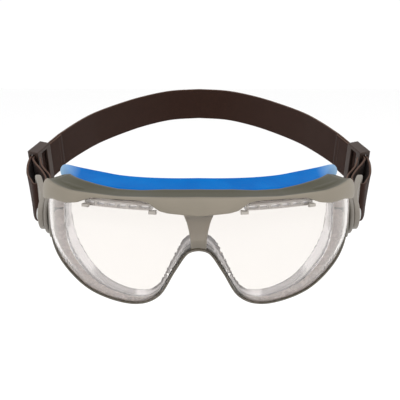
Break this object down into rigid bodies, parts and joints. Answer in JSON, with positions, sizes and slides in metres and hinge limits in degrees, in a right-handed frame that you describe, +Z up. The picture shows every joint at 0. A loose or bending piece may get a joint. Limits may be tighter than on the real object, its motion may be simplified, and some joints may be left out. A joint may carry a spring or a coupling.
{
  "type": "safety goggles",
  "caption": "Wraparound safety goggles: clear lens, grey brow bar and frame, blue brow seal, soft face seal, swivel strap clips and an elastic strap with sliders.",
  "frame": {"origin": "7.5 mm above the middle of the line through the two strap clip pivots, in the middle of the face opening", "axes": "+X to the wearer's left, -Y out through the lens, +Y back towards the head strap, +Z up"},
  "size_m": [0.2216, 0.2447, 0.097],
  "materials": {
    "frame": "fine satin moulding",
    "lens": "clear polished polycarbonate",
    "brow": "fine spark texture",
    "vent": "clear moulding",
    "brow_seal": "soft satin elastomer",
    "face_seal": "soft translucent elastomer",
    "clip": "satin moulding",
    "steel": "turned",
    "strap": "woven elastic webbing",
    "slider": "satin moulding"
  },
  "bodies": {
    "goggles": {"goggle_frame": "frame", "lens": "lens", "brow_frame": "brow", "lens_catch_outer_left": "brow", "lens_catch_inner_left": "brow", "lens_catch_outer_right": "brow", "lens_catch_inner_right": "brow", "upper_vent_left": "vent", "upper_vent_right": "vent", "brow_seal": "brow_seal", "face_seal": "face_seal", "side_lug_left": "brow", "pivot_pin_left": "steel", "pin_retainer_left": "steel", "side_lug_right": "brow", "pivot_pin_right": "steel", "pin_retainer_right": "steel"},
    "strap": {"strap_clip_left": "clip", "head_strap": "strap"},
    "right_clip": {"strap_clip_right": "clip"},
    "left_slider": {"slider_left": "slider", "strap_tail_left": "strap"},
    "right_slider": {"slider_right": "slider", "strap_tail_right": "strap"}
  },
  "joints": [
    {"name": "strap_swivel", "type": "hinge", "parent": "goggles", "child": "strap", "pos_m": [0.0908, 0, -0.0075], "axis": [1, 0, 0], "range_deg": [-45, 35]},
    {"name": "right_clip_swivel", "type": "hinge", "parent": "goggles", "child": "right_clip", "pos_m": [-0.0908, 0, -0.0075], "axis": [1, 0, 0], "range_deg": [-45, 35]},
    {"name": "left_slider_travel", "type": "slide", "parent": "strap", "child": "left_slider", "axis": [-0.3584, 0.8827, 0.3039], "range_m": [0, 0.016]},
    {"name": "right_slider_travel", "type": "slide", "parent": "strap", "child": "right_slider", "axis": [0.3584, 0.8827, 0.3039], "range_m": [0, 0.016]}
  ],
  "couplings": [
    {"joint": "right_clip_swivel", "follows": "strap_swivel", "ratio": 1}
  ]
}
